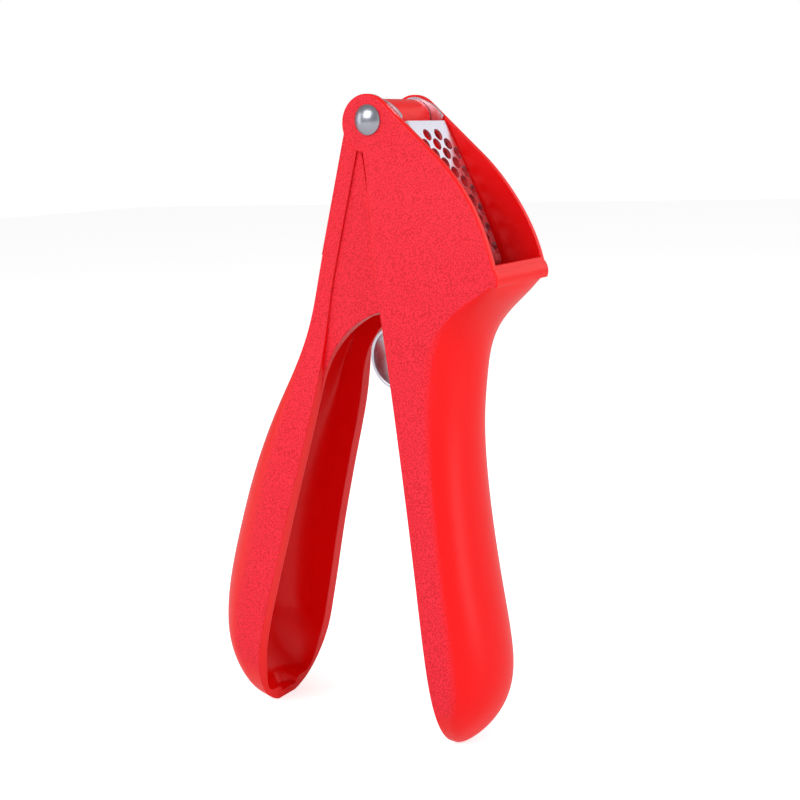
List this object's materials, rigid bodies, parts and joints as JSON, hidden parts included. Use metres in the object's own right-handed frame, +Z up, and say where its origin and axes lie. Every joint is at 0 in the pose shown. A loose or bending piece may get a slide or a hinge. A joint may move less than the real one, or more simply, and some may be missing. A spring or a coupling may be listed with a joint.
{
  "type": "garlic press",
  "caption": "Hand-held garlic press with two red plastic trough handles, a swinging perforated steel basket and a domed hinge rivet.",
  "frame": {"origin": "centre of the bottom of the box round the whole press, standing on its two handle ends with the handles apart", "axes": "+Z up, +X from the lever handle towards the mouth of the chamber, Y along the hinge pin; the press is the same on both sides of Y = 0 but for its rivet"},
  "size_m": [0.0994, 0.0354, 0.1765],
  "materials": {
    "red_plastic": "satin, fine moulded grain on the flat sides",
    "sieve_steel": "satin stainless sheet",
    "rivet_steel": "polished"
  },
  "bodies": {
    "chamber": {"chamber_handle": "red_plastic", "rivet_tube": "rivet_steel", "rivet_post": "rivet_steel"},
    "lever": {"lever_handle": "red_plastic"},
    "basket": {"sieve_basket": "sieve_steel"}
  },
  "joints": [
    {"name": "lever_hinge", "type": "hinge", "parent": "chamber", "child": "lever", "pos_m": [0.01255, 0, 0.16995], "axis": [0, 1, 0], "range_deg": [-19, 95]},
    {"name": "basket_swing", "type": "hinge", "parent": "chamber", "child": "basket", "pos_m": [0.01255, 0, 0.16995], "axis": [0, 1, 0], "range_deg": [-5.7, 28.5]}
  ],
  "couplings": [
    {"joint": "basket_swing", "follows": "lever_hinge", "ratio": 0.3}
  ]
}
